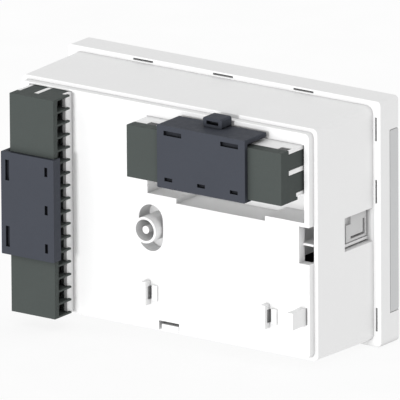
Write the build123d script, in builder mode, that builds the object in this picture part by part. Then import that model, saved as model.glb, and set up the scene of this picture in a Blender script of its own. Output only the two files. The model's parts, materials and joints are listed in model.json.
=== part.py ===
"""Panel-mounting room climate controller (wall thermostat), 144 x 96 front, with plug-in terminal strips.

Row frame, millimetres: the origin is the middle of the front frame's rear face, the face that lies
against the panel. +Y points to the rear of the controller, the operating front faces -Y, +Z is up.
Most outlines are drawn as seen from behind, where local x runs to the viewer's right (row -X).
"""
import os

from build123d import *

os.makedirs("parts", exist_ok=True)

# ---------------------------------------------------------------- driving dimensions
# front frame and its fascia
FRAME_W = 144.0
FRAME_H = 96.0
FRAME_T = 12.6
FRAME_CORNER_R = 1.6
FRAME_OPENING_W = 131.0
FRAME_OPENING_H = 85.8
FASCIA_H = 71.0
FASCIA_T = 4.8
FASCIA_SIDE_T = 6.1
FASCIA_SIDE_W = 5.5
FASCIA_GAP = 0.3
VENT_L = 9.2
VENT_W = 0.8
TOP_VENTS_X = (-37.0, 0.0, 37.0)
SIDE_VENTS_Z = (-37.2, 12.9, 37.2)

# rear housing, a tapered tube that goes through the 138 x 92 panel cut-out
SHELL_W = 137.4
SHELL_H = 91.9
SHELL_CORNER_R = 3.0
SHELL_DRAFT = 1.2
SHELL_SEAT = 1.0
RIM_Y = 35.4
LEDGE_Y = 28.8
SHELL_INNER_W = 131.2
SHELL_INNER_H = 86.0

# rear plate, snapped into the housing and standing proud of its rim
PLATE_W = 132.7
PLATE_H = 87.5
PLATE_Y = RIM_Y + 3.1
PLATE_T = 3.7
SKIRT_T = 1.4
WELL_WALL = 1.2
WELL_FLOOR_Y = 23.3

# plug-in terminal strips; "across" runs from a strip's outer side to its wire side
PITCH = 5.0
RIB = 0.8
STRIP_ACROSS = 20.3
STRIP_REAR_Y = RIM_Y + 17.1
STRIP_END_Y = STRIP_REAR_Y - 18.6
OUTER_STEP_Y = STRIP_REAR_Y - 4.9
POCKET_START_Y = STRIP_REAR_Y - 2.6
POCKET_FLOOR_Y = STRIP_REAR_Y - 9.6
RIB_TIP_Y = STRIP_REAR_Y - 10.7
PIN_END_Y = POCKET_FLOOR_Y - 0.8
PIN_ACROSS = 14.0
PIN = 1.0
STRIPS = {
    17: {"outer": (-61.3, 0.0), "across": (1, 0)},
    14: {"outer": (28.2, 39.2), "across": (0, -1)},
}

# covers on the strips
COVER_L = 40.2
COVER_Y = STRIP_REAR_Y + 1.8
COVER_DEPTH = 14.0
COVER_OVER = 3.0
COVER_WALL = 2.0
COVER_LIP = 1.1

# circuit boards
MAIN_BOARD_Y = 13.0
BOARD_T = 1.6
DISPLAY_BOARD_Y = -4.4
BOARD_SCREW_X = 63.4
BOARD_SCREW_Z = 41.0

# front controls
LENS_X = -14.0
LENS_Z = 7.0
LENS_W = 77.0
LENS_H = 42.0
KEY_XS = (-44.0, -24.0, -4.0, 16.0)
KEY_Z = -24.5
KEY_W = 14.0
KEY_H = 6.0
KNOB_X = 47.5
KNOB_R = 15.5
KNOB_FRONT_Y = -23.5
SHAFT_R = 3.0

# side clamps that hold the controller in the panel
CLAMP_WINDOW = (0.3, 18.1)
CLAMP_WINDOW_H = 13.1
CLAMP_FACE_X = 66.3
CLAMP_BACK_X = 59.2
CLAMP_SPAN = (0.9, 14.3)


# ---------------------------------------------------------------- working planes
def from_behind(y, right=0.0, up=0.0):
    """Plane seen from behind: local x to the viewer's right, local y up, normal to the rear."""
    return Plane(origin=(-right, y, up), x_dir=(-1, 0, 0), z_dir=(0, 1, 0))


def from_front(y, x=0.0, z=0.0):
    """Plane seen from the front: local x is row +X, local y up, normal towards the user."""
    return Plane(origin=(x, y, z), x_dir=(1, 0, 0), z_dir=(0, -1, 0))


def strip_face(poles, y):
    """Plane across a strip: local x runs across it from its outer side, local y along it."""
    right, up = STRIPS[poles]["outer"]
    step_right, step_up = STRIPS[poles]["across"]
    return Plane(origin=(-right, y, up), x_dir=(-step_right, 0, step_up), z_dir=(0, 1, 0))


def strip_section(poles):
    """Cross-section plane of a strip: local x runs across it, local y is row +Y."""
    face = strip_face(poles, 0)
    return Plane(origin=face.origin, x_dir=face.x_dir, z_dir=face.x_dir.cross(Vector(0, 1, 0)))


def strip_length(poles):
    """Length of a strip: its poles and one closing rib."""
    return poles * PITCH + RIB


def span(low, high):
    """Middle and length of an interval."""
    return (low + high) / 2, high - low


def block(x, y, z):
    """Box between two limits on each axis, added to the part under construction."""
    (x_mid, x_len), (y_mid, y_len), (z_mid, z_len) = span(*x), span(*y), span(*z)
    with Locations((x_mid, y_mid, z_mid)):
        Box(abs(x_len), abs(y_len), abs(z_len))


def cut_block(x, y, z):
    """Box between two limits on each axis, cut from the part under construction."""
    (x_mid, x_len), (y_mid, y_len), (z_mid, z_len) = span(*x), span(*y), span(*z)
    with Locations((x_mid, y_mid, z_mid)):
        Box(abs(x_len), abs(y_len), abs(z_len), mode=Mode.SUBTRACT)


# ---------------------------------------------------------------- front frame
FASCIA_BACK_Y = FASCIA_T - FRAME_T
FRAME_LIP_T = 2.0
FRAME_FRONT_R = 1.0
FRAME_REAR_R = 0.4
SEAT_CLEARANCE = 0.03
VENT_DEPTH = 4.0
SIDE_VENT_X = 70.1
TOP_VENT_Z = 47.0

with BuildPart() as front_frame:
    with BuildSketch(from_behind(-FRAME_T)):
        RectangleRounded(FRAME_W, FRAME_H, FRAME_CORNER_R)
    extrude(amount=FRAME_T)
    fillet(front_frame.faces().sort_by(Axis.Y)[0].outer_wire().edges(), FRAME_FRONT_R)
    fillet(front_frame.faces().sort_by(Axis.Y)[-1].outer_wire().edges(), FRAME_REAR_R)
    with BuildSketch(from_behind(FRAME_LIP_T - FRAME_T)):
        RectangleRounded(FRAME_OPENING_W, FRAME_OPENING_H, 2.0)
    extrude(amount=FRAME_T, mode=Mode.SUBTRACT)
    # channel that holds the fascia, open at both sides of the frame
    with BuildSketch(from_behind(-FRAME_T)):
        Rectangle(FRAME_W + 2, FASCIA_H + 2 * FASCIA_GAP)
    extrude(amount=FASCIA_SIDE_T + FASCIA_GAP, mode=Mode.SUBTRACT)
    # seat of the rear housing
    with BuildSketch(from_behind(-SHELL_SEAT)):
        RectangleRounded(SHELL_W + 2 * SEAT_CLEARANCE, SHELL_H + 2 * SEAT_CLEARANCE, SHELL_CORNER_R)
    extrude(amount=SHELL_SEAT + 1, mode=Mode.SUBTRACT)
    # vent slots in the rear face, beside the housing
    with BuildSketch(from_behind(0)):
        for x in TOP_VENTS_X:
            with Locations((x, TOP_VENT_Z), (x, -TOP_VENT_Z)):
                Rectangle(VENT_L, VENT_W)
        for z in SIDE_VENTS_Z:
            with Locations((SIDE_VENT_X, z), (-SIDE_VENT_X, z)):
                Rectangle(VENT_W, VENT_L)
    extrude(amount=-VENT_DEPTH, mode=Mode.SUBTRACT)
front_frame.part.label = "front_frame"
export_step(front_frame.part, "parts/front_frame.step")

# ---------------------------------------------------------------- front fascia
KEY_GAP = 0.3
KEY_CORNER_R = 1.0
LENS_STEP = 1.5
LENS_T = 1.5
ENCODER_HOLE_R = 5.2
PILLAR_X = 49.5
PILLAR_Z = 32.0
PILLAR_R = 2.4
SMALL_SCREW_R = 1.0
SMALL_SCREW_L = 5.0

with BuildPart() as front_fascia:
    with BuildSketch(from_behind(-FRAME_T)):
        RectangleRounded(FRAME_W, FASCIA_H, 0.6)
    extrude(amount=FASCIA_T)
    front_side_edges = front_fascia.faces().sort_by(Axis.Y)[0].edges().filter_by(Axis.Z)
    fillet(front_side_edges, FRAME_FRONT_R)
    # thicker ends that fill the channel in the sides of the frame
    for side in (-1, 1):
        block(
            (side * (FRAME_W / 2 - FASCIA_SIDE_W), side * FRAME_W / 2),
            (2 - FRAME_T, FASCIA_SIDE_T - FRAME_T),
            (-FASCIA_H / 2, FASCIA_H / 2),
        )
    # stepped opening for the display lens
    with BuildSketch(from_front(-FRAME_T, LENS_X, LENS_Z)):
        Rectangle(LENS_W, LENS_H)
    extrude(amount=-LENS_T - 0.1, mode=Mode.SUBTRACT)
    with BuildSketch(from_front(-FRAME_T, LENS_X, LENS_Z)):
        Rectangle(LENS_W - 2 * LENS_STEP, LENS_H - 2 * LENS_STEP)
    extrude(amount=-FASCIA_T, mode=Mode.SUBTRACT)
    # key openings and the encoder opening
    with BuildSketch(from_front(-FRAME_T)):
        for x in KEY_XS:
            with Locations((x, KEY_Z)):
                RectangleRounded(KEY_W + 2 * KEY_GAP, KEY_H + 2 * KEY_GAP, KEY_CORNER_R + KEY_GAP)
        with Locations((KNOB_X, 0)):
            Circle(ENCODER_HOLE_R)
    extrude(amount=-FASCIA_T, mode=Mode.SUBTRACT)
    # pillars that carry the display board
    with BuildSketch(from_behind(FASCIA_BACK_Y)):
        with GridLocations(2 * PILLAR_X, 2 * PILLAR_Z, 2, 2):
            Circle(PILLAR_R)
    extrude(amount=DISPLAY_BOARD_Y - FASCIA_BACK_Y)
    with BuildSketch(from_behind(DISPLAY_BOARD_Y)):
        with GridLocations(2 * PILLAR_X, 2 * PILLAR_Z, 2, 2):
            Circle(SMALL_SCREW_R)
    extrude(amount=-SMALL_SCREW_L, mode=Mode.SUBTRACT)
front_fascia.part.label = "front_fascia"
export_step(front_fascia.part, "parts/front_fascia.step")

with BuildPart() as display_window:
    with BuildSketch(from_front(-FRAME_T, LENS_X, LENS_Z)):
        RectangleRounded(LENS_W - 0.2, LENS_H - 0.2, 0.5)
    extrude(amount=-LENS_T)
display_window.part.label = "display_window"
export_step(display_window.part, "parts/display_window.step")

LCD_FRONT_Y = -10.6
LCD_BACK_Y = -7.4
LCD_W = LENS_W - 2 * LENS_STEP - 0.4
LCD_H = LENS_H - 2 * LENS_STEP - 0.4

with BuildPart() as lcd_panel:
    with BuildSketch(from_behind(LCD_FRONT_Y, -LENS_X, LENS_Z)):
        Rectangle(LCD_W, LCD_H)
    extrude(amount=LCD_BACK_Y - LCD_FRONT_Y)
lcd_panel.part.label = "lcd_panel"
export_step(lcd_panel.part, "parts/lcd_panel.step")

with BuildPart() as lcd_backlight:
    with BuildSketch(from_behind(LCD_BACK_Y, -LENS_X, LENS_Z)):
        RectangleRounded(LENS_W + 3, LENS_H + 3, 1.0)
    extrude(amount=DISPLAY_BOARD_Y - LCD_BACK_Y)
lcd_backlight.part.label = "lcd_backlight"
export_step(lcd_backlight.part, "parts/lcd_backlight.step")

# ---------------------------------------------------------------- display board and what is on it
DISPLAY_BOARD_W = 108.0
DISPLAY_BOARD_H = 69.0
DISPLAY_BOARD_HOLE_R = 1.2
SMALL_HEAD_R = 2.0
SMALL_HEAD_T = 1.5
TACT = 6.0
TACT_T = 1.1
TACT_PLUNGER_R = 1.6
TACT_PLUNGER_T = 0.3
KEY_FLANGE = 1.5
KEY_FLANGE_T = 1.0
KEY_DEPTH = 6.1

with BuildPart() as display_board:
    with BuildSketch(from_behind(DISPLAY_BOARD_Y)):
        RectangleRounded(DISPLAY_BOARD_W, DISPLAY_BOARD_H, 1.5)
        with GridLocations(2 * PILLAR_X, 2 * PILLAR_Z, 2, 2):
            Circle(DISPLAY_BOARD_HOLE_R, mode=Mode.SUBTRACT)
    extrude(amount=BOARD_T)
display_board.part.label = "display_board"
export_step(display_board.part, "parts/display_board.step")

with BuildPart() as display_screws:
    with BuildSketch(from_behind(DISPLAY_BOARD_Y + BOARD_T)):
        with GridLocations(2 * PILLAR_X, 2 * PILLAR_Z, 2, 2):
            Circle(SMALL_HEAD_R)
    extrude(amount=SMALL_HEAD_T)
    with BuildSketch(from_behind(DISPLAY_BOARD_Y + BOARD_T)):
        with GridLocations(2 * PILLAR_X, 2 * PILLAR_Z, 2, 2):
            Circle(SMALL_SCREW_R)
    extrude(amount=-SMALL_SCREW_L - 1)
display_screws.part.label = "display_screws"
export_step(display_screws.part, "parts/display_screws.step")

with BuildPart() as tact_switches:
    with BuildSketch(from_front(DISPLAY_BOARD_Y)):
        for x in KEY_XS:
            with Locations((x, KEY_Z)):
                Rectangle(TACT, TACT)
    extrude(amount=TACT_T)
    with BuildSketch(from_front(DISPLAY_BOARD_Y - TACT_T)):
        for x in KEY_XS:
            with Locations((x, KEY_Z)):
                Circle(TACT_PLUNGER_R)
    extrude(amount=TACT_PLUNGER_T)
tact_switches.part.label = "tact_switches"
export_step(tact_switches.part, "parts/tact_switches.step")

for number, key_x in enumerate(KEY_XS, start=1):
    with BuildPart() as key:
        with BuildSketch(from_front(LCD_BACK_Y, key_x, KEY_Z)):
            RectangleRounded(KEY_W, KEY_H, KEY_CORNER_R)
        extrude(amount=KEY_DEPTH)
        fillet(key.faces().sort_by(Axis.Y)[0].edges(), 0.5)
        with BuildSketch(from_front(LCD_BACK_Y + KEY_FLANGE_T, key_x, KEY_Z)):
            RectangleRounded(KEY_W + 2 * KEY_FLANGE, KEY_H + 2 * KEY_FLANGE, KEY_CORNER_R)
        extrude(amount=KEY_FLANGE_T)
    key.part.label = f"key_{number}"
    export_step(key.part, f"parts/key_{number}.step")

# ---------------------------------------------------------------- rotary knob and its encoder
ENCODER_FRONT_Y = -7.2
ROTOR_FRONT_Y = -8.6
SHAFT_END_Y = -6.2
KNOB_BACK_Y = -13.3
SHAFT_TOP_GAP = 3.0
ROTOR_R = 4.6
HUB_R = 5.5
KNOB_WALL = 1.8
KNOB_HOLLOW = 6.5
FLUTES = 12
FLUTE_R = 1.6
FLUTE_L = 8.0
FLAT_DROP = 1.0

with BuildPart() as encoder_body:
    with BuildSketch(from_front(DISPLAY_BOARD_Y, KNOB_X)):
        Rectangle(12, 13)
    extrude(amount=DISPLAY_BOARD_Y - ENCODER_FRONT_Y)
    with BuildSketch(from_front(ENCODER_FRONT_Y, KNOB_X)):
        Circle(SHAFT_R + 0.4)
    extrude(amount=-2.2, mode=Mode.SUBTRACT)
encoder_body.part.label = "encoder_body"
export_step(encoder_body.part, "parts/encoder_body.step")

with BuildPart() as encoder_rotor:
    with BuildSketch(from_front(ENCODER_FRONT_Y - 0.1, KNOB_X)):
        Circle(ROTOR_R)
        Circle(SHAFT_R + 0.08, mode=Mode.SUBTRACT)
    extrude(amount=ENCODER_FRONT_Y - ROTOR_FRONT_Y)
encoder_rotor.part.label = "encoder_rotor"
export_step(encoder_rotor.part, "parts/encoder_rotor.step")

with BuildPart() as encoder_shaft:
    with BuildSketch(from_front(SHAFT_END_Y, KNOB_X)):
        Circle(SHAFT_R)
    extrude(amount=SHAFT_END_Y - KNOB_FRONT_Y - SHAFT_TOP_GAP)
    # flat that keys the shaft to the knob
    cut_block((KNOB_X - 4, KNOB_X + 4), (KNOB_FRONT_Y + 2, KNOB_BACK_Y), (SHAFT_R - FLAT_DROP, SHAFT_R + 2))
encoder_shaft.part.label = "encoder_shaft"
export_step(encoder_shaft.part, "parts/encoder_shaft.step")

with BuildPart() as knob:
    with BuildSketch(from_front(KNOB_BACK_Y, KNOB_X)):
        Circle(KNOB_R)
    extrude(amount=KNOB_BACK_Y - KNOB_FRONT_Y, taper=3)
    fillet(knob.faces().sort_by(Axis.Y)[0].edges(), 1.2)
    with BuildSketch(from_front(KNOB_FRONT_Y, KNOB_X)):
        Circle(KNOB_R - 5)
    extrude(amount=-0.8, mode=Mode.SUBTRACT)
    # hollow back around the hub
    with BuildSketch(from_front(KNOB_BACK_Y, KNOB_X)):
        Circle(KNOB_R - KNOB_WALL)
        Circle(HUB_R, mode=Mode.SUBTRACT)
    extrude(amount=KNOB_HOLLOW, mode=Mode.SUBTRACT)
    # grip flutes round the rim
    with BuildSketch(from_front(KNOB_BACK_Y, KNOB_X)):
        with PolarLocations(KNOB_R + FLUTE_R - 0.7, FLUTES):
            Circle(FLUTE_R)
    extrude(amount=FLUTE_L, mode=Mode.SUBTRACT)
    # bore that fits the shaft and its flat
    with BuildSketch(from_front(KNOB_BACK_Y, KNOB_X)):
        Circle(SHAFT_R)
        with Locations((0, 2 * SHAFT_R - FLAT_DROP)):
            Rectangle(2 * SHAFT_R, 2 * SHAFT_R, mode=Mode.SUBTRACT)
    extrude(amount=KNOB_BACK_Y - KNOB_FRONT_Y - SHAFT_TOP_GAP, mode=Mode.SUBTRACT)
knob.part.label = "knob"
export_step(knob.part, "parts/knob.step")

# ---------------------------------------------------------------- clock battery and board link
CELL_X = -30.0
CELL_Z = 14.0
CELL_R = 10.0
CELL_T = 3.2
CELL_FLOOR = 0.6
HOLDER_R = 11.6
HOLDER_T = 3.4
DISPLAY_BOARD_BACK_Y = DISPLAY_BOARD_Y + BOARD_T

with BuildPart() as coin_cell:
    with BuildSketch(from_behind(DISPLAY_BOARD_BACK_Y + CELL_FLOOR, -CELL_X, CELL_Z)):
        Circle(CELL_R)
    extrude(amount=CELL_T)
    fillet(coin_cell.faces().sort_by(Axis.Y)[-1].edges(), 0.4)
coin_cell.part.label = "coin_cell"
export_step(coin_cell.part, "parts/coin_cell.step")

with BuildPart() as battery_holder:
    with BuildSketch(from_behind(DISPLAY_BOARD_BACK_Y, -CELL_X, CELL_Z)):
        Circle(HOLDER_R)
    extrude(amount=HOLDER_T)
    with BuildSketch(from_behind(DISPLAY_BOARD_BACK_Y + CELL_FLOOR, -CELL_X, CELL_Z)):
        Circle(CELL_R + 0.1)
    extrude(amount=HOLDER_T, mode=Mode.SUBTRACT)
battery_holder.part.label = "battery_holder"
export_step(battery_holder.part, "parts/battery_holder.step")

with BuildPart() as board_connector:
    block((0, 36), (DISPLAY_BOARD_BACK_Y, MAIN_BOARD_Y), (26.4, 31.9))
board_connector.part.label = "board_connector"
export_step(board_connector.part, "parts/board_connector.step")

# ---------------------------------------------------------------- main board and its components
MAIN_BOARD_BACK_Y = MAIN_BOARD_Y + BOARD_T
MAIN_BOARD_W = 130.6
MAIN_BOARD_H = 85.4
CLAMP_RECESS = 58.5
CLAMP_RECESS_H = 19.0
BOARD_HOLE_R = 1.3
BOARD_SCREW_R = 1.1
BOARD_HEAD_R = 1.7
BOARD_HEAD_T = 1.5
BOARD_SCREW_L = 8.0

with BuildPart() as main_board:
    with BuildSketch(from_behind(MAIN_BOARD_Y)):
        RectangleRounded(MAIN_BOARD_W, MAIN_BOARD_H, 2.0)
        # room for the side clamps
        for side in (-1, 1):
            with Locations((side * (CLAMP_RECESS + 5), 0)):
                Rectangle(10, CLAMP_RECESS_H, mode=Mode.SUBTRACT)
        with GridLocations(2 * BOARD_SCREW_X, 2 * BOARD_SCREW_Z, 2, 2):
            Circle(BOARD_HOLE_R, mode=Mode.SUBTRACT)
    extrude(amount=BOARD_T)
    for poles in STRIPS:
        with BuildSketch(strip_face(poles, MAIN_BOARD_Y)):
            with Locations((PIN_ACROSS, 0)):
                with GridLocations(0, PITCH, 1, poles):
                    Rectangle(PIN, PIN)
        extrude(amount=BOARD_T, mode=Mode.SUBTRACT)
main_board.part.label = "main_board"
export_step(main_board.part, "parts/main_board.step")

with BuildPart() as board_screws:
    with BuildSketch(from_behind(MAIN_BOARD_BACK_Y)):
        with GridLocations(2 * BOARD_SCREW_X, 2 * BOARD_SCREW_Z, 2, 2):
            Circle(BOARD_HEAD_R)
    extrude(amount=BOARD_HEAD_T)
    with BuildSketch(from_behind(MAIN_BOARD_BACK_Y)):
        with GridLocations(2 * BOARD_SCREW_X, 2 * BOARD_SCREW_Z, 2, 2):
            Circle(BOARD_SCREW_R)
    extrude(amount=-BOARD_SCREW_L)
board_screws.part.label = "board_screws"
export_step(board_screws.part, "parts/board_screws.step")

RELAYS = 6
RELAY_W = 10.0
RELAY_H = 20.0
RELAY_T = 14.0
TRANSFORMER_AT = (34.0, -20.0)
COIL_T = 17.0
CORE_T = 14.5
CAPACITOR_R = 5.0
CAPACITOR_L = 16.0
CAPACITOR_STEP = 12.0

with BuildPart() as microcontroller:
    block((12, 26), (MAIN_BOARD_Y - 1.4, MAIN_BOARD_Y), (0, 14))
microcontroller.part.label = "microcontroller"
export_step(microcontroller.part, "parts/microcontroller.step")

with BuildPart() as relays:
    with BuildSketch(from_front(MAIN_BOARD_Y)):
        with Locations((-2, -30)):
            with GridLocations(RELAY_W + 3.5, 0, RELAYS, 1):
                RectangleRounded(RELAY_W, RELAY_H, 0.6)
    extrude(amount=RELAY_T)
relays.part.label = "relays"
export_step(relays.part, "parts/relays.step")

with BuildPart() as transformer:
    with BuildSketch(from_behind(MAIN_BOARD_BACK_Y, *TRANSFORMER_AT)):
        Rectangle(38, 27)
    extrude(amount=COIL_T)
    with BuildSketch(from_behind(MAIN_BOARD_BACK_Y, *TRANSFORMER_AT)):
        Rectangle(27, 32)
    extrude(amount=CORE_T)
transformer.part.label = "transformer"
export_step(transformer.part, "parts/transformer.step")

with BuildPart() as capacitors:
    with BuildSketch(from_behind(MAIN_BOARD_BACK_Y, -28, -24)):
        with GridLocations(CAPACITOR_STEP, CAPACITOR_STEP, 2, 2):
            Circle(CAPACITOR_R)
    extrude(amount=CAPACITOR_L)
    fillet(capacitors.faces().sort_by(Axis.Y)[-4:].edges(), 0.6)
capacitors.part.label = "capacitors"
export_step(capacitors.part, "parts/capacitors.step")

FUSE_Y = MAIN_BOARD_BACK_Y + 4.5
FUSE_Z = 12.0
FUSE_X = 26.0
FUSE_R = 2.6
FUSE_L = 20.0
FUSE_CLIP_L = 4.0

with BuildPart() as fuse:
    with BuildSketch(Plane.YZ.offset(FUSE_X - FUSE_L / 2)):
        with Locations((FUSE_Y, FUSE_Z)):
            Circle(FUSE_R)
    extrude(amount=FUSE_L)
fuse.part.label = "fuse"
export_step(fuse.part, "parts/fuse.step")

with BuildPart() as fuse_clips:
    for middle in (FUSE_X - 7.5, FUSE_X + 7.5):
        with BuildSketch(Plane.YZ.offset(middle - FUSE_CLIP_L / 2)):
            with Locations((FUSE_Y - 1.2, FUSE_Z)):
                Rectangle(6.6, 6.4)
            with Locations((FUSE_Y, FUSE_Z)):
                Circle(FUSE_R, mode=Mode.SUBTRACT)
            with Locations((FUSE_Y + FUSE_R, FUSE_Z)):
                Rectangle(5.2, 4.6, mode=Mode.SUBTRACT)
        extrude(amount=FUSE_CLIP_L)
fuse_clips.part.label = "fuse_clips"
export_step(fuse_clips.part, "parts/fuse_clips.step")

# ---------------------------------------------------------------- rear housing
TAB_W = 8.0
TAB_T = 1.2
TAB_L = 5.0
RAIL_Z = 8.0
RAIL_T = 1.2
TAB_INNER_X = SHELL_INNER_W / 2 - TAB_T - 0.2
TAB_INNER_Z = SHELL_INNER_H / 2 - TAB_T - 0.2

with BuildPart() as rear_housing:
    with BuildSketch(from_behind(-SHELL_SEAT)):
        RectangleRounded(SHELL_W, SHELL_H, SHELL_CORNER_R)
    extrude(amount=RIM_Y + SHELL_SEAT, taper=SHELL_DRAFT)
    fillet(rear_housing.faces().sort_by(Axis.Y)[-1].edges(), 0.4)
    with BuildSketch(from_behind(-SHELL_SEAT)):
        RectangleRounded(SHELL_INNER_W, SHELL_INNER_H, 1.5)
    extrude(amount=RIM_Y + 5, mode=Mode.SUBTRACT)
    with BuildSketch(from_behind(LEDGE_Y)):
        RectangleRounded(PLATE_W + 0.1, PLATE_H + 0.1, 2.0)
    extrude(amount=RIM_Y, mode=Mode.SUBTRACT)
    # windows for the panel clamps, in both side walls
    with BuildSketch(Plane.YZ):
        with Locations((sum(CLAMP_WINDOW) / 2, 0)):
            Rectangle(CLAMP_WINDOW[1] - CLAMP_WINDOW[0], CLAMP_WINDOW_H)
    extrude(amount=FRAME_W, both=True, mode=Mode.SUBTRACT)
    for side in (-1, 1):
        # guide rails above and below each clamp
        for z in (-RAIL_Z - RAIL_T, RAIL_Z):
            rail_x = (side * 59, side * (SHELL_INNER_W / 2 + 0.1))
            block(rail_x, (CLAMP_WINDOW[0], MAIN_BOARD_Y - 0.4), (z, z + RAIL_T))
        # corner bosses that carry the main board
        for end in (-1, 1):
            block(
                (side * 60.6, side * (SHELL_INNER_W / 2 + 0.3)),
                (4.0, MAIN_BOARD_Y),
                (end * 38.2, end * (SHELL_INNER_H / 2 + 0.3)),
            )
        # tabs that locate the housing in the front frame
        for z in SIDE_VENTS_Z:
            tab_z = (z - TAB_W / 2, z + TAB_W / 2)
            block((side * TAB_INNER_X, side * (TAB_INNER_X + TAB_T)), (-TAB_L, 3), tab_z)
            block((side * TAB_INNER_X, side * (TAB_INNER_X + 2)), (0, 3), tab_z)
        for x in TOP_VENTS_X:
            tab_x = (x - TAB_W / 2, x + TAB_W / 2)
            block(tab_x, (-TAB_L, 3), (side * TAB_INNER_Z, side * (TAB_INNER_Z + TAB_T)))
            block(tab_x, (0, 3), (side * TAB_INNER_Z, side * (TAB_INNER_Z + 2)))
    with BuildSketch(from_behind(MAIN_BOARD_Y)):
        with GridLocations(2 * BOARD_SCREW_X, 2 * BOARD_SCREW_Z, 2, 2):
            Circle(BOARD_SCREW_R)
    extrude(amount=-BOARD_SCREW_L, mode=Mode.SUBTRACT)
rear_housing.part.label = "rear_housing"
export_step(rear_housing.part, "parts/rear_housing.step")

# ---------------------------------------------------------------- rear plate
WIDE_POCKET = ((-7.8, 64.2), (9.0, 39.3))
DEEP_POCKET = ((5.5, 46.2), (7.0, 12.0))
SIDE_POCKET = ((-62.2, -42.3), (-43.1, 43.1))
BOSS = (-6.3, -4.4)
BOSS_R = 5.1
BOSS_BORE_R = 4.2
BOSS_H = 4.0
BOSS_RECESS = (18.2, 11.0)
RECESS_FLOOR_Y = PLATE_Y - 7.0
STUD_R = 1.5
STUD_TOP_Y = PLATE_Y + 3.3
CUP_Y = PLATE_Y - 15.0
HOOKS_RIGHT = (-6.6, 48.3)
HOOK_Z = -29.6
HOOK_W = 9.2
HOOK_PULL_W = 5.2
HOOK_TOP_Y = PLATE_Y + 3.5
HOOK_UNDER_Y = PLATE_Y + 2.0
PAD_TOP_Y = PLATE_Y + 0.7
PAD_W = 6.0
TONGUE_TOP_Y = PLATE_Y + 8.8
TONGUE_Z = (-30.6, -24.0)
GUIDE_X = (-57.5, -56.5)
GUIDE_FRONT_Y = 19.0
SHELF = ((LEDGE_Y, PLATE_Y - 2.7), (-0.5, 0.3))
LATCH_SLOT = ((-2.9, 6.4), (-40.1, -46.0))
CLAMP_SLOT = ((61.7, 70.0), (-7.0, 7.4))
PLATE_BACK_Y = PLATE_Y - PLATE_T


def outline(right, up, grow=0.0):
    """Rectangle between two limits each way, drawn in a sketch seen from behind."""
    (x_mid, x_len), (y_mid, y_len) = span(*right), span(*up)
    with Locations((x_mid, y_mid)):
        Rectangle(abs(x_len) + 2 * grow, abs(y_len) + 2 * grow)


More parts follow.
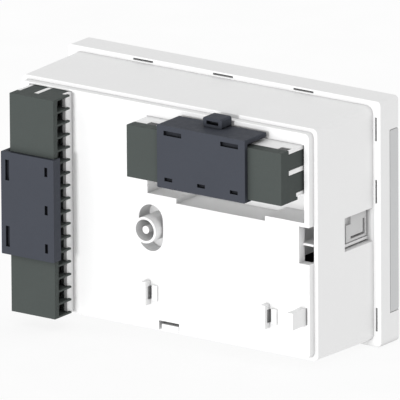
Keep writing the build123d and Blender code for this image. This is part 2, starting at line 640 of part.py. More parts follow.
with BuildPart() as rear_plate:
    with BuildSketch(from_behind(LEDGE_Y)):
        RectangleRounded(PLATE_W, PLATE_H, 2.0)
    extrude(amount=PLATE_Y - LEDGE_Y)
    fillet(rear_plate.faces().sort_by(Axis.Y)[-1].edges(), 0.3)
    with BuildSketch(from_behind(LEDGE_Y)):
        RectangleRounded(PLATE_W - 2 * SKIRT_T, PLATE_H - 2 * SKIRT_T, 1.0)
    extrude(amount=PLATE_BACK_Y - LEDGE_Y, mode=Mode.SUBTRACT)
    # wells round both terminal strips
    with BuildSketch(from_behind(WELL_FLOOR_Y)):
        outline(*WIDE_POCKET, grow=WELL_WALL)
        outline(*DEEP_POCKET, grow=WELL_WALL)
    extrude(amount=PLATE_Y - WELL_FLOOR_Y - 1)
    with BuildSketch(from_behind(LEDGE_Y)):
        outline((SIDE_POCKET[0][0] - WELL_WALL, SIDE_POCKET[0][1] + WELL_WALL), SIDE_POCKET[1])
    extrude(amount=PLATE_Y - LEDGE_Y - 1)
    with BuildSketch(from_behind(WELL_FLOOR_Y + WELL_WALL)) as well:
        outline(*WIDE_POCKET)
        outline(*DEEP_POCKET)
        fillet(well.vertices().group_by(Axis.Y)[-1], 1.5)
    extrude(amount=PLATE_Y, mode=Mode.SUBTRACT)
    # the strip's header stands on the main board, so the well has no floor there
    with BuildSketch(from_behind(WELL_FLOOR_Y - 1)):
        outline(WIDE_POCKET[0], (20.0, WIDE_POCKET[1][1]))
    extrude(amount=PLATE_Y, mode=Mode.SUBTRACT)
    with BuildSketch(from_behind(LEDGE_Y - 1)):
        outline(*SIDE_POCKET)
    extrude(amount=PLATE_Y, mode=Mode.SUBTRACT)
    # slots for the bottom latch and for reaching the side clamps
    with BuildSketch(from_behind(LEDGE_Y - 1)):
        outline(*LATCH_SLOT)
        outline(*CLAMP_SLOT)
        outline((-CLAMP_SLOT[0][0] - 2.6, -70.0), CLAMP_SLOT[1])
    extrude(amount=PLATE_Y, mode=Mode.SUBTRACT)
    block((-PLATE_W / 2, -60.7), *SHELF)
    # recess, cup, boss and centre stud
    with BuildSketch(from_behind(RECESS_FLOOR_Y - 1, *BOSS)):
        SlotOverall(BOSS_RECESS[0] + 2, BOSS_RECESS[1] + 2, rotation=90)
    extrude(amount=PLATE_Y - RECESS_FLOOR_Y)
    with BuildSketch(from_behind(RECESS_FLOOR_Y, *BOSS)):
        SlotOverall(*BOSS_RECESS, rotation=90)
    extrude(amount=PLATE_Y, mode=Mode.SUBTRACT)
    with BuildSketch(from_behind(CUP_Y, *BOSS)):
        Circle(BOSS_R)
    extrude(amount=PLATE_Y + BOSS_H - CUP_Y)
    with BuildSketch(from_behind(CUP_Y + 1, *BOSS)):
        Circle(BOSS_BORE_R)
        Circle(STUD_R, mode=Mode.SUBTRACT)
    extrude(amount=PLATE_Y, mode=Mode.SUBTRACT)
    with BuildSketch(from_behind(STUD_TOP_Y, *BOSS)):
        Circle(STUD_R + 0.3)
    extrude(amount=2, mode=Mode.SUBTRACT)
    # two hooks, undercut on their right through the plate, with stop pads beside them
    for right in HOOKS_RIGHT:
        hook_z = (HOOK_Z - HOOK_W / 2, HOOK_Z + HOOK_W / 2)
        pull_z = (HOOK_Z - HOOK_PULL_W / 2, HOOK_Z + HOOK_PULL_W / 2)
        pad_z = (HOOK_Z - PAD_W / 2, HOOK_Z + PAD_W / 2)
        block((-right + 2, -right), (PLATE_Y - 1, HOOK_TOP_Y), hook_z)
        cut_block((-right + 1, -right - 0.5), (PLATE_BACK_Y - 1, HOOK_UNDER_Y), pull_z)
        block((-right - 0.9, -right - 3.4), (PLATE_Y - 1, PAD_TOP_Y), pad_z)
    # locating tongue with a relief slot at its foot
    block((-64.8, -62.2), (PLATE_BACK_Y, TONGUE_TOP_Y), TONGUE_Z)
    cut_block((-65.3, -64.8), (PLATE_BACK_Y - 1, PLATE_Y + 1), TONGUE_Z)
    # guide wall that leads a screwdriver to the side clamp
    block(GUIDE_X, (GUIDE_FRONT_Y, PLATE_Y - 1), CLAMP_SLOT[1])
rear_plate.part.label = "rear_plate"
export_step(rear_plate.part, "parts/rear_plate.step")

with BuildPart() as bottom_latch:
    block((1.6, -6.2), (LEDGE_Y + 0.1, PLATE_Y), (-43.65, -41.3))
bottom_latch.part.label = "bottom_latch"
export_step(bottom_latch.part, "parts/bottom_latch.step")

# ---------------------------------------------------------------- panel clamps
CLAMP_BLOCK_Z = (-4.5, 6.2)
CLAMP_FLANGE_Z = (-7.6, 7.6)
CLAMP_FLANGE_T = 1.2
TONGUE_SLOT_DEPTH = 3.0
TONGUE_SLOTS = (((2.2, 3.5), (-3.4, 2.8)), ((2.2, 11.4), (-3.4, -2.4)))
CORNER_STEP = ((11.4, 15.0), (2.4, 7.0))
CORNER_STEP_DEPTH = 1.0

for side, name in ((-1, "panel_clamp_right"), (1, "panel_clamp_left")):
    with BuildPart() as panel_clamp:
        block((side * CLAMP_BACK_X, side * CLAMP_FACE_X), CLAMP_SPAN, CLAMP_BLOCK_Z)
        block((side * CLAMP_BACK_X, side * (CLAMP_BACK_X + CLAMP_FLANGE_T)), CLAMP_SPAN, CLAMP_FLANGE_Z)
        fillet(panel_clamp.faces().sort_by(Axis.X)[0 if side < 0 else -1].outer_wire().edges(), 0.3)
        for slot_y, slot_z in TONGUE_SLOTS:
            cut_block((side * (CLAMP_FACE_X - TONGUE_SLOT_DEPTH), side * (CLAMP_FACE_X + 1)), slot_y, slot_z)
        cut_block((side * (CLAMP_FACE_X - CORNER_STEP_DEPTH), side * (CLAMP_FACE_X + 1)), *CORNER_STEP)
    panel_clamp.part.label = name
    export_step(panel_clamp.part, f"parts/{name}.step")

# ---------------------------------------------------------------- terminal headers, strips and covers
HEADER_END_Y = MAIN_BOARD_BACK_Y
WEB_REAR_Y = STRIP_END_Y - 0.5
WEB_FRONT_Y = WEB_REAR_Y - 2.5
OUTER_WALL_Y = OUTER_STEP_Y - 0.2
WIRE_WALL_Y = POCKET_FLOOR_Y - 0.2
CODING_DEPTH = 3.0
HEADER_NOTCH_L = 19.0
HEADER_NOTCH_DEPTH = 5.0
POCKET_MIDDLE = 16.15
POCKET_ACROSS = 8.4
TIP_MIDDLE = 19.7
CHANNEL = (2.0, 1.8)
LEAF = (0.4, 1.6)
LEAF_OFFSET = 0.75
CONTACT_T = 0.5
CLAMP_MIDDLE = 14.4
CLAMP_WIDTH = 3.0
TAB_MIDDLE = -COVER_OVER - 1.8
TAB_SIZE = (4.0, 8.6)
TAB_SLOT = (1.4, 5.4)
TAB_DEPTH = 6.4
TAB_SLOT_DEPTH = 2.5
LONG_SLOT = (1.8, 8.1)
LONG_SLOT_STEP = 26.0
SHORT_SLOT = (1.4, 3.6)
SHORT_SLOT_STEP = 15.0
SLOT_DEPTH = 1.4

for poles in STRIPS:
    length = strip_length(poles)
    section = strip_section(poles)

    with BuildPart() as header:
        with BuildSketch(section):
            with BuildLine():
                Polyline(
                    (0, HEADER_END_Y), (0, OUTER_WALL_Y), (1.4, OUTER_WALL_Y), (1.4, WEB_REAR_Y),
                    (7.9, WEB_REAR_Y), (7.9, OUTER_WALL_Y), (9.7, OUTER_WALL_Y), (9.7, WEB_REAR_Y),
                    (17.5, WEB_REAR_Y), (17.5, WIRE_WALL_Y), (18.9, WIRE_WALL_Y),
                    (18.9, HEADER_END_Y), (17.5, HEADER_END_Y), (17.5, WEB_FRONT_Y),
                    (1.4, WEB_FRONT_Y), (1.4, HEADER_END_Y), close=True,
                )
            make_face()
        extrude(amount=length / 2, both=True)
        with BuildSketch(strip_face(poles, WEB_FRONT_Y)):
            with Locations((PIN_ACROSS, 0)):
                with GridLocations(0, PITCH, 1, poles):
                    Rectangle(PIN, PIN)
        extrude(amount=WEB_REAR_Y - WEB_FRONT_Y, mode=Mode.SUBTRACT)
        # coding notches in the outer wall, at the second pole and the last
        with BuildSketch(strip_face(poles, OUTER_WALL_Y - CODING_DEPTH)):
            for pole in (1, poles - 1):
                with Locations((0.7, (pole - (poles - 1) / 2) * PITCH)):
                    Rectangle(2, PITCH - 0.6)
        extrude(amount=CODING_DEPTH + 1, mode=Mode.SUBTRACT)
        if poles == 17:
            # room for the panel clamp on this side
            with BuildSketch(strip_face(poles, HEADER_END_Y)):
                with Locations((0.7, 0)):
                    Rectangle(2, HEADER_NOTCH_L)
            extrude(amount=HEADER_NOTCH_DEPTH, mode=Mode.SUBTRACT)
    header.part.label = f"header_{poles}"
    export_step(header.part, f"parts/header_{poles}.step")

    with BuildPart() as header_pins:
        with BuildSketch(strip_face(poles, MAIN_BOARD_Y - 1.5)):
            with Locations((PIN_ACROSS, 0)):
                with GridLocations(0, PITCH, 1, poles):
                    Rectangle(PIN, PIN)
        extrude(amount=PIN_END_Y - MAIN_BOARD_Y + 1.5)
    header_pins.part.label = f"header_pins_{poles}"
    export_step(header_pins.part, f"parts/header_pins_{poles}.step")

    with BuildPart() as terminal_strip:
        with BuildSketch(section):
            with BuildLine():
                Polyline(
                    (0, STRIP_REAR_Y), (0, OUTER_STEP_Y), (1.6, OUTER_STEP_Y), (1.6, STRIP_END_Y),
                    (7.7, STRIP_END_Y), (7.7, OUTER_STEP_Y), (9.9, OUTER_STEP_Y), (9.9, STRIP_END_Y),
                    (17.3, STRIP_END_Y), (17.3, POCKET_FLOOR_Y), (19.1, POCKET_FLOOR_Y),
                    (19.1, RIB_TIP_Y), (STRIP_ACROSS, RIB_TIP_Y), (STRIP_ACROSS, STRIP_REAR_Y),
                    close=True,
                )
            make_face()
        extrude(amount=length / 2, both=True)
        # one wire pocket for each pole, open on the wire side
        with BuildSketch(strip_face(poles, POCKET_FLOOR_Y)):
            with Locations((POCKET_MIDDLE, 0)):
                with GridLocations(0, PITCH, 1, poles):
                    Rectangle(POCKET_ACROSS, PITCH - RIB)
        extrude(amount=POCKET_START_Y - POCKET_FLOOR_Y, mode=Mode.SUBTRACT)
        with BuildSketch(strip_face(poles, RIB_TIP_Y - 1)):
            with Locations((TIP_MIDDLE, 0)):
                with GridLocations(0, PITCH, 1, poles):
                    Rectangle(1.4, PITCH - RIB)
        extrude(amount=3, mode=Mode.SUBTRACT)
        # channels for the header's pins
        with BuildSketch(strip_face(poles, STRIP_END_Y)):
            with Locations((PIN_ACROSS, 0)):
                with GridLocations(0, PITCH, 1, poles):
                    Rectangle(*CHANNEL)
        extrude(amount=POCKET_FLOOR_Y - STRIP_END_Y, mode=Mode.SUBTRACT)
    terminal_strip.part.label = f"terminal_strip_{poles}"
    export_step(terminal_strip.part, f"parts/terminal_strip_{poles}.step")

    with BuildPart() as contacts:
        for offset in (-LEAF_OFFSET, LEAF_OFFSET):
            with BuildSketch(strip_face(poles, STRIP_END_Y + 1.5)):
                with Locations((PIN_ACROSS + offset, 0)):
                    with GridLocations(0, PITCH, 1, poles):
                        Rectangle(*LEAF)
            extrude(amount=POCKET_FLOOR_Y - STRIP_END_Y - 1.5)
        with BuildSketch(strip_face(poles, POCKET_FLOOR_Y)):
            with Locations((CLAMP_MIDDLE, 0)):
                with GridLocations(0, PITCH, 1, poles):
                    Rectangle(4.6, CLAMP_WIDTH)
        extrude(amount=CONTACT_T)
    contacts.part.label = f"contacts_{poles}"
    export_step(contacts.part, f"parts/contacts_{poles}.step")

    with BuildPart() as wire_clamps:
        for pole in range(poles):
            with BuildSketch(section.offset((pole - (poles - 1) / 2) * PITCH)):
                with Locations((CLAMP_MIDDLE, POCKET_FLOOR_Y + 3.7)):
                    RectangleRounded(4.4, 6.2, 1.0)
                    RectangleRounded(3.4, 5.2, 0.6, mode=Mode.SUBTRACT)
            extrude(amount=CLAMP_WIDTH / 2, both=True)
    wire_clamps.part.label = f"wire_clamps_{poles}"
    export_step(wire_clamps.part, f"parts/wire_clamps_{poles}.step")

    with BuildPart() as strip_cover:
        with BuildSketch(section):
            with BuildLine():
                Polyline(
                    (-COVER_OVER, COVER_Y), (-COVER_OVER, COVER_Y - COVER_DEPTH),
                    (COVER_WALL - COVER_OVER, COVER_Y - COVER_DEPTH),
                    (COVER_WALL - COVER_OVER, STRIP_REAR_Y + 0.05),
                    (STRIP_ACROSS + 0.1, STRIP_REAR_Y + 0.05), (STRIP_ACROSS + 0.1, COVER_Y - 4.4),
                    (STRIP_ACROSS + COVER_LIP, COVER_Y - 4.4), (STRIP_ACROSS + COVER_LIP, COVER_Y),
                    close=True,
                )
            make_face()
        extrude(amount=COVER_L / 2, both=True)
        fillet(strip_cover.edges().filter_by(Axis.Y), 0.4)
        # grip ribs between the outer wall and the strip
        with BuildSketch(strip_face(poles, OUTER_STEP_Y + 0.3)):
            with Locations((-0.55, 0)):
                with GridLocations(0, LONG_SLOT_STEP, 1, 2):
                    Rectangle(1.0, 1.2)
        extrude(amount=5)
        # pull tab with its slot
        with BuildSketch(strip_face(poles, COVER_Y - COVER_DEPTH)):
            with Locations((TAB_MIDDLE, 0)):
                RectangleRounded(*TAB_SIZE, 0.9)
        extrude(amount=TAB_DEPTH)
        with BuildSketch(strip_face(poles, COVER_Y - COVER_DEPTH + TAB_DEPTH)):
            with Locations((TAB_MIDDLE, 0)):
                Rectangle(*TAB_SLOT)
        extrude(amount=-TAB_SLOT_DEPTH, mode=Mode.SUBTRACT)
        # moulding slots near both long sides
        with BuildSketch(strip_face(poles, COVER_Y)):
            with Locations((-0.1, 0)):
                with GridLocations(0, LONG_SLOT_STEP, 1, 2):
                    Rectangle(*LONG_SLOT)
            with Locations((STRIP_ACROSS - 2.4, 0)):
                with GridLocations(0, SHORT_SLOT_STEP, 1, 3):
                    Rectangle(*SHORT_SLOT)
        extrude(amount=-SLOT_DEPTH, mode=Mode.SUBTRACT)
    strip_cover.part.label = f"strip_cover_{poles}"
    export_step(strip_cover.part, f"parts/strip_cover_{poles}.step")
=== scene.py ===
"""Looks for the panel-mounting room climate controller, seen from behind with its terminal strips."""

import json
import math

import bmesh
import bpy
from mathutils import Matrix, Vector


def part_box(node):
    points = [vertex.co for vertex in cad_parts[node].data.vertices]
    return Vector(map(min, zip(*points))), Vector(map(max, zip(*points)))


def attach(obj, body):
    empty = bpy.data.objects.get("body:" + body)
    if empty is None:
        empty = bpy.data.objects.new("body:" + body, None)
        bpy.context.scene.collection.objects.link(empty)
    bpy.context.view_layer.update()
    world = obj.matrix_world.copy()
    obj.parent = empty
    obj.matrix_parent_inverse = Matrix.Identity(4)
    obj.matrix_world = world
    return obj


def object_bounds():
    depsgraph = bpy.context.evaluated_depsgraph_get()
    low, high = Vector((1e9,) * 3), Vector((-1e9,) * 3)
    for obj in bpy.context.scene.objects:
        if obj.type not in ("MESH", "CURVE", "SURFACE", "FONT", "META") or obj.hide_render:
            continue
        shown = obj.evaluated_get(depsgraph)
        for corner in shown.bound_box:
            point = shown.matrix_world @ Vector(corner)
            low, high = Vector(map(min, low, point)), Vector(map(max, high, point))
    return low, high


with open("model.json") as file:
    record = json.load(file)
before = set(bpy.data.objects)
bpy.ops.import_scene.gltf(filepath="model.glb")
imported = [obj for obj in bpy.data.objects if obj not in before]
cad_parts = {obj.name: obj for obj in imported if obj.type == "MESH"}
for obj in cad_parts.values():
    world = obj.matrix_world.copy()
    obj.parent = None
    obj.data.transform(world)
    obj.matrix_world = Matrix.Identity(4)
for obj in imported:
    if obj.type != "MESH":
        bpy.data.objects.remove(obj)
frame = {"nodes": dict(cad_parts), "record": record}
cad_low, cad_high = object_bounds()
MM = 0.001
CREASE_REACH = 3.0 * MM

# ---------------------------------------------------------------- node helpers


class Shader:
    """A small builder for one procedural material."""

    def __init__(self, name):
        self.material = bpy.data.materials.new(name)
        self.material.use_nodes = True
        self.tree = self.material.node_tree
        self.tree.nodes.clear()
        self.output = self.tree.nodes.new("ShaderNodeOutputMaterial")
        self.bsdf = self.tree.nodes.new("ShaderNodeBsdfPrincipled")
        self.link(self.bsdf.outputs["BSDF"], self.output.inputs["Surface"])
        self.place = self.tree.nodes.new("ShaderNodeTexCoord").outputs["Object"]

    def link(self, source, target):
        self.tree.links.new(source, target)

    def stretched(self, scale):
        """Object coordinates with their own scale along each axis."""
        node = self.tree.nodes.new("ShaderNodeMapping")
        node.inputs["Scale"].default_value = scale
        self.link(self.place, node.inputs["Vector"])
        return node.outputs["Vector"]

    def noise(self, scale, detail=3.0, roughness=0.5, vector=None):
        node = self.tree.nodes.new("ShaderNodeTexNoise")
        node.inputs["Scale"].default_value = scale
        node.inputs["Detail"].default_value = detail
        node.inputs["Roughness"].default_value = roughness
        self.link(vector or self.place, node.inputs["Vector"])
        return node.outputs["Fac"]

    def cells(self, scale):
        node = self.tree.nodes.new("ShaderNodeTexVoronoi")
        node.feature = "F1"
        node.inputs["Scale"].default_value = scale
        self.link(self.place, node.inputs["Vector"])
        return node.outputs["Distance"]

    def spread(self, value, low, high, start=0.3, end=0.7):
        """Maps a value from one range to another."""
        node = self.tree.nodes.new("ShaderNodeMapRange")
        node.inputs["From Min"].default_value = start
        node.inputs["From Max"].default_value = end
        node.inputs["To Min"].default_value = low
        node.inputs["To Max"].default_value = high
        self.link(value, node.inputs["Value"])
        return node.outputs["Result"]

    def mix(self, factor, first, second):
        """Colour between two tones; each tone is an RGB tuple or a colour output."""
        node = self.tree.nodes.new("ShaderNodeMix")
        node.data_type = "RGBA"
        self.link(factor, node.inputs["Factor"])
        for socket, tone in ((node.inputs[6], first), (node.inputs[7], second)):
            if isinstance(tone, tuple):
                socket.default_value = (*tone, 1.0)
            else:
                self.link(tone, socket)
        return node.outputs[2]

    def bump(self, height, distance, strength=1.0, normal=None):
        node = self.tree.nodes.new("ShaderNodeBump")
        node.inputs["Strength"].default_value = strength
        node.inputs["Distance"].default_value = distance
        self.link(height, node.inputs["Height"])
        if normal is not None:
            self.link(normal, node.inputs["Normal"])
        return node.outputs["Normal"]

    def creased(self, tone, reach, depth):
        """Darkens a colour in tight inside corners. This stands for soft shading; it isn't dirt."""
        node = self.tree.nodes.new("ShaderNodeAmbientOcclusion")
        node.samples = 8
        node.inputs["Distance"].default_value = reach
        dark = self.mix(self.spread(node.outputs["AO"], 1.0, 0.0, 0.35, 0.95), tone, (0, 0, 0))
        soft = self.tree.nodes.new("ShaderNodeMix")
        soft.data_type = "RGBA"
        soft.inputs["Factor"].default_value = depth
        self.link(tone, soft.inputs[6])
        self.link(dark, soft.inputs[7])
        return soft.outputs[2]

    def colour(self, tone):
        self.link(tone, self.bsdf.inputs["Base Color"])

    def roughness(self, value):
        self.link(value, self.bsdf.inputs["Roughness"])

    def normal(self, value):
        self.link(value, self.bsdf.inputs["Normal"])


def toned(colour, factor):
    return tuple(min(c * factor, 1.0) for c in colour)


def moulded(name, colour, rough, grain=0.012 * MM, cloud=0.03, specular=0.4, crease=0.0):
    """Injection-moulded plastic: eroded grain, faint flow clouds and uneven gloss, plus painted shade
    in tight inside corners where crease is set.
    """
    s = Shader(name)
    clouds = s.spread(s.noise(70, 4.0, 0.55), 0.0, 1.0)
    speck = s.spread(s.noise(2600, 2.0), 0.0, 1.0, 0.35, 0.65)
    base = s.mix(clouds, toned(colour, 1 - cloud), toned(colour, 1 + cloud))
    tone = s.mix(speck, base, toned(colour, 1 - 0.6 * cloud))
    s.colour(s.creased(tone, CREASE_REACH, crease) if crease else tone)
    s.roughness(s.spread(s.noise(420, 3.0), rough - 0.05, rough + 0.07))
    coarse = s.bump(s.noise(1500, 3.0, 0.6), 2.2 * grain)
    s.normal(s.bump(s.cells(5200), grain, 0.7, coarse))
    s.bsdf.inputs["Specular IOR Level"].default_value = specular
    return s.material


def plated(name, colour, rough, streak=0.05):
    """Plated metal with fine drawn streaks and cloudy gloss."""
    s = Shader(name)
    lines = s.noise(1.0, 3.0, 0.6, s.stretched((900, 900, 4200)))
    s.colour(s.mix(s.spread(lines, 0.0, 1.0), toned(colour, 1 - streak), toned(colour, 1 + streak)))
    s.roughness(s.spread(s.noise(300, 3.0), rough - 0.06, rough + 0.1))
    s.normal(s.bump(lines, 0.006 * MM))
    s.bsdf.inputs["Metallic"].default_value = 1.0
    return s.material


def board(name):
    """Solder mask over copper tracks, seen as slightly raised lighter lines."""
    s = Shader(name)
    tracks = s.tree.nodes.new("ShaderNodeTexBrick")
    tracks.inputs["Scale"].default_value = 90
    tracks.inputs["Mortar Size"].default_value = 0.035
    tracks.inputs["Color1"].default_value = (0.012, 0.10, 0.045, 1)
    tracks.inputs["Color2"].default_value = (0.016, 0.12, 0.05, 1)
    tracks.inputs["Mortar"].default_value = (0.03, 0.19, 0.08, 1)
    turn = s.tree.nodes.new("ShaderNodeMapping")
    turn.inputs["Rotation"].default_value = (math.pi / 2, 0, 0)
    s.link(s.place, turn.inputs["Vector"])
    s.link(turn.outputs["Vector"], tracks.inputs["Vector"])
    s.colour(s.mix(s.spread(s.noise(200), 0.0, 0.4), tracks.outputs["Color"], (0.01, 0.08, 0.035)))
    s.roughness(s.spread(s.noise(500), 0.25, 0.4))
    s.normal(s.bump(tracks.outputs["Fac"], 0.03 * MM))
    return s.material


def clear(name, colour, rough):
    """Clear moulded or drawn glass with the slightest waviness."""
    s = Shader(name)
    s.colour(s.mix(s.spread(s.noise(60), 0.0, 1.0), toned(colour, 0.97), colour))
    s.roughness(s.spread(s.noise(300), rough, rough + 0.03))
    s.normal(s.bump(s.noise(120, 2.0), 0.004 * MM))
    s.bsdf.inputs["Transmission Weight"].default_value = 1.0
    s.bsdf.inputs["IOR"].default_value = 1.49
    return s.material


def liquid_crystal(name):
    """Unlit liquid crystal panel: grey-green, with the faint grid of its electrodes."""
    s = Shader(name)
    grid = s.noise(1.0, 1.0, 0.4, s.stretched((2400, 1, 2400)))
    s.colour(s.mix(s.spread(grid, 0.0, 1.0), (0.29, 0.35, 0.30), (0.33, 0.39, 0.34)))
    s.roughness(s.spread(s.noise(90), 0.12, 0.2))
    s.normal(s.bump(grid, 0.003 * MM))
    return s.material


WHITE = (0.80, 0.80, 0.80)
GREY = (0.55, 0.555, 0.56)
STRIP = (0.060, 0.069, 0.0655)
COVER = (0.0485, 0.053, 0.0655)
CLAMP = (0.56, 0.56, 0.56)
# the coarse, nearly shineless finish that the strips and their covers share
MATT = {"rough": 0.6, "cloud": 0.04, "grain": 0.02 * MM, "specular": 0.08}

# crease sets how strongly painted shade darkens each finish in tight inside corners
SLOTS = {
    "white_plastic": moulded("white_plastic", WHITE, 0.52, cloud=0.008, specular=0.3, crease=0.28),
    "fascia_grey": moulded("fascia_grey", GREY, 0.5, cloud=0.015),
    "clamp_grey": moulded("clamp_grey", CLAMP, 0.5, cloud=0.02, crease=0.15),
    "display_lens": clear("display_lens", (0.88, 0.92, 0.91), 0.02),
    "lcd": liquid_crystal("lcd"),
    "diffuser": moulded("diffuser", (0.80, 0.82, 0.80), 0.35, cloud=0.01),
    "circuit_board": board("circuit_board"),
    "zinc_steel": plated("zinc_steel", (0.66, 0.67, 0.66), 0.32),
    # the contacts get a near-black colour as painted shade for the pockets they sit in; real
    # tin-plated contacts are brighter
    "contact_metal": plated("contact_metal", (0.07, 0.07, 0.07), 0.45),
    "brass": plated("brass", (0.72, 0.52, 0.24), 0.28),
    "terminal_green_grey": moulded("terminal_green_grey", STRIP, crease=0.4, **MATT),
    "cover_slate": moulded("cover_slate", COVER, crease=0.75, **MATT),
    "black_plastic": moulded("black_plastic", (0.015, 0.015, 0.017), 0.45, cloud=0.05),
    "relay_case": moulded("relay_case", (0.02, 0.04, 0.13), 0.3, cloud=0.03),
    "transformer_resin": moulded("transformer_resin", (0.03, 0.028, 0.03), 0.4, cloud=0.06),
    "capacitor_sleeve": moulded("capacitor_sleeve", (0.02, 0.02, 0.06), 0.3, cloud=0.05),
    "fuse_glass": clear("fuse_glass", (0.9, 0.94, 0.94), 0.03),
    "key_plastic": moulded("key_plastic", (0.20, 0.205, 0.21), 0.5, cloud=0.03),
    "knob_plastic": moulded("knob_plastic", (0.15, 0.155, 0.165), 0.5, cloud=0.03),
}

for row in frame["record"]["subparts"]:
    node = frame["nodes"][row["node"]]
    node.data.materials.clear()
    node.data.materials.append(SLOTS[row["material_slot"]])


# ---------------------------------------------------------------- softened edges on the CAD nodes
def soften(name, width, angle=40):
    """Rounds the node's sharp edges by a fraction of a millimetre."""
    node = frame["nodes"][name]
    weld = node.modifiers.new("weld", "WELD")
    weld.merge_threshold = 0.002 * MM
    bevel = node.modifiers.new("bevel", "BEVEL")
    bevel.width = width * MM
    bevel.segments = 2
    bevel.limit_method = "ANGLE"
    bevel.angle_limit = math.radians(angle)
    bevel.harden_normals = True
    bevel.use_clamp_overlap = True


STRIP_EDGE = 0.15
for edged in ("terminal_strip_17", "terminal_strip_14"):
    soften(edged, STRIP_EDGE)


# ---------------------------------------------------------------- mesh helpers
def point(right, y, up):
    """A place seen from behind: right and up in the viewer's sense, y to the rear, in mm."""
    return Vector((-right, y, up)) * MM


class Piece:
    """Collects closed solids into one mesh object."""

    def __init__(self, name):
        self.name = name
        self.mesh = bmesh.new()

    def prism(self, outline, direction):
        """Solid swept from a closed outline of points along a vector."""
        start = [self.mesh.verts.new(p) for p in outline]
        end = [self.mesh.verts.new(p + direction) for p in outline]
        count = len(outline)
        self.mesh.faces.new(start)
        self.mesh.faces.new(end[::-1])
        for i in range(count):
            j = (i + 1) % count
            self.mesh.faces.new((start[j], start[i], end[i], end[j]))

    def block(self, right, y, up):
        """Box between two limits each way, seen from behind, in mm."""
        corners = [point(right[0], y[0], up[0]), point(right[1], y[0], up[0])]
        corners += [point(right[1], y[0], up[1]), point(right[0], y[0], up[1])]
        self.prism(corners, Vector((0, (y[1] - y[0]) * MM, 0)))

    def finish(self, body, slot, bevel=0.12, segments=2):
        bmesh.ops.recalc_face_normals(self.mesh, faces=self.mesh.faces)
        data = bpy.data.meshes.new(self.name)
        self.mesh.to_mesh(data)
        self.mesh.free()
        made = bpy.data.objects.new(self.name, data)
        bpy.context.scene.collection.objects.link(made)
        if bevel:
            rounding = made.modifiers.new("bevel", "BEVEL")
            rounding.width = bevel * MM
            rounding.segments = segments
            rounding.limit_method = "ANGLE"
            rounding.angle_limit = math.radians(35)
            rounding.use_clamp_overlap = True
        for polygon in data.polygons:
            polygon.use_smooth = False
        data.materials.append(SLOTS[slot])
        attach(made, body)
        return made


# ---------------------------------------------------------------- coding ribs of the plugs
# each plug has a rib that enters the header's notch at its second pole, and one at its last; the ribs
# are made black as painted shade in the deep notch, where a real rib would have the strip's
# green-grey
SECOND_NOTCH = (5.7, 10.1)
LAST_NOTCH = (0.7, 5.1)
RIB_GAP = 0.2
RIB_SUNK = 0.1
RIB_THICK = 1.1
RIB_DEPTH = 2.6


def span(start, end, notch):
    """The notch's two limits, measured from one end of the header towards the other, less the gap."""
    step = math.copysign(1, end - start)
    near, far = start + step * (notch[0] + RIB_GAP), start + step * (notch[1] - RIB_GAP)
    return min(near, far), max(near, far)


for poles in (17, 14):
    header_low, header_high = (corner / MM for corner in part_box(f"header_{poles}"))
    rib_y = (header_high.y - RIB_DEPTH, header_high.y + RIB_SUNK)
    for number, notch in enumerate((SECOND_NOTCH, LAST_NOTCH), start=1):
        rib = Piece(f"coding_rib_{poles}_{number}")
        if poles == 14:
            ends = (-header_high.x, -header_low.x)
            start, end = ends if notch == SECOND_NOTCH else ends[::-1]
            top_face = header_high.z - RIB_SUNK
            rib.block(span(start, end, notch), rib_y, (top_face - RIB_THICK, top_face))
        else:
            ends = (header_low.z, header_high.z)
            start, end = ends if notch == SECOND_NOTCH else ends[::-1]
            outer_face = RIB_SUNK - header_high.x
            rib.block((outer_face, outer_face + RIB_THICK), rib_y, span(start, end, notch))
        rib.finish(f"terminal_strip_{poles}", "black_plastic", bevel=0.1)


# ---------------------------------------------------------------- sills of the clamp windows
# a low ridge across each side window, just below the clamp and outside the reach of its flange
SILL_Y = (0.0, 18.4)
SILL_UP = (-5.9, -4.75)
SILL_OUT = (-0.75, 0.1)

for side_name in ("right", "left"):
    clamp_low, clamp_high = (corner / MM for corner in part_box(f"panel_clamp_{side_name}"))
    face = clamp_high.x if side_name == "left" else clamp_low.x
    away = math.copysign(1, face)
    limits = sorted(-(face + away * step) for step in SILL_OUT)
    sill = Piece(f"window_sill_{side_name}")
    sill.block(limits, SILL_Y, SILL_UP)
    sill.finish("housing", "white_plastic", bevel=0.15)


# ---------------------------------------------------------------- floor, light and camera
FLOOR_RADIUS = 3.0
FLOOR_GAP = 0.3 * MM
FLOOR_TONES = ((0.12, 0.12, 0.12), (0.13, 0.13, 0.13))
FLOOR_GLOW = 0.86
floor_mesh = bpy.data.meshes.new("floor")
shape = bmesh.new()
bmesh.ops.create_circle(shape, cap_ends=True, segments=96, radius=FLOOR_RADIUS)
shape.to_mesh(floor_mesh)
shape.free()
floor = bpy.data.objects.new("floor", floor_mesh)
floor.location = (0, 0, cad_low.z - FLOOR_GAP)
bpy.context.scene.collection.objects.link(floor)
paper = Shader("floor_paper")
paper.colour(paper.mix(paper.spread(paper.noise(40), 0.0, 1.0), *FLOOR_TONES))
paper.bsdf.inputs["Roughness"].default_value = 1.0
paper.bsdf.inputs["Specular IOR Level"].default_value = 0.0
paper.bsdf.inputs["Emission Color"].default_value = (1, 1, 1, 1)
paper.bsdf.inputs["Emission Strength"].default_value = FLOOR_GLOW
floor_mesh.materials.append(paper.material)

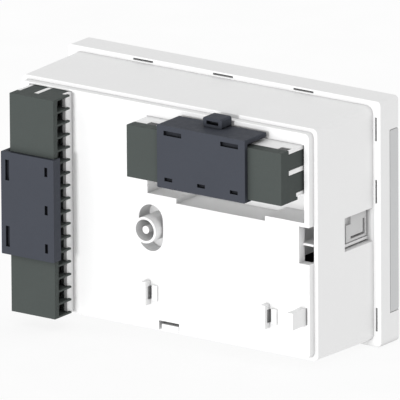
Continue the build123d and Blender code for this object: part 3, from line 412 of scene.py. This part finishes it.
AMBIENT = 0.92
world = bpy.data.worlds.new("studio")
world.use_nodes = True
world.node_tree.nodes["Background"].inputs["Color"].default_value = (1, 1, 1, 1)
seen = world.node_tree.nodes.new("ShaderNodeLightPath").outputs["Is Camera Ray"]
strength = world.node_tree.nodes.new("ShaderNodeMapRange")
strength.inputs["To Min"].default_value = AMBIENT
strength.inputs["To Max"].default_value = 1.0
backdrop = world.node_tree.nodes["Background"]
world.node_tree.links.new(seen, strength.inputs["Value"])
world.node_tree.links.new(strength.outputs["Result"], backdrop.inputs["Strength"])
bpy.context.scene.world = world


def sun(name, towards, strength, angle):
    """Soft distant light; towards is the direction that its rays travel."""
    lamp = bpy.data.lights.new(name, "SUN")
    lamp.energy = strength
    lamp.angle = math.radians(angle)
    made = bpy.data.objects.new(name, lamp)
    made.rotation_mode = "QUATERNION"
    made.rotation_quaternion = Vector(towards).to_track_quat("-Z", "Y")
    bpy.context.scene.collection.objects.link(made)


sun("key", (0.03, -1.0, -0.05), 1.9, 10)

AZIMUTH = math.radians(215.5)
ELEVATION = math.radians(16.37)
ROLL = math.radians(-0.40)
FIELD = 150.63 * MM
LENS = 1500.0
SENSOR = 36.0
AIM_DEPTH = 15 * MM
AIM_LEFT = 0.26 * MM
AIM_UP = 1.71 * MM
back = Vector((
    math.sin(AZIMUTH) * math.cos(ELEVATION),
    -math.cos(AZIMUTH) * math.cos(ELEVATION),
    math.sin(ELEVATION),
))
level = Vector((math.cos(AZIMUTH), math.sin(AZIMUTH), 0))
upright = back.cross(level)
aim = Vector((0, AIM_DEPTH, 0)) - level * AIM_LEFT + upright * AIM_UP
side = level * math.cos(ROLL) + upright * math.sin(ROLL)
top = upright * math.cos(ROLL) - level * math.sin(ROLL)
lens = bpy.data.cameras.new("camera")
lens.lens = LENS
lens.sensor_width = SENSOR
lens.clip_start = 0.1
lens.clip_end = 30
camera = bpy.data.objects.new("camera", lens)
place = aim + back * FIELD * LENS / SENSOR
camera.matrix_world = Matrix((
    (side.x, top.x, back.x, place.x),
    (side.y, top.y, back.y, place.y),
    (side.z, top.z, back.z, place.z),
    (0, 0, 0, 1),
))
bpy.context.scene.collection.objects.link(camera)
bpy.context.scene.camera = camera

view = bpy.context.scene.view_settings
view.view_transform = "Standard"
view.look = "None"
view.exposure = 0.0
view.gamma = 1.0
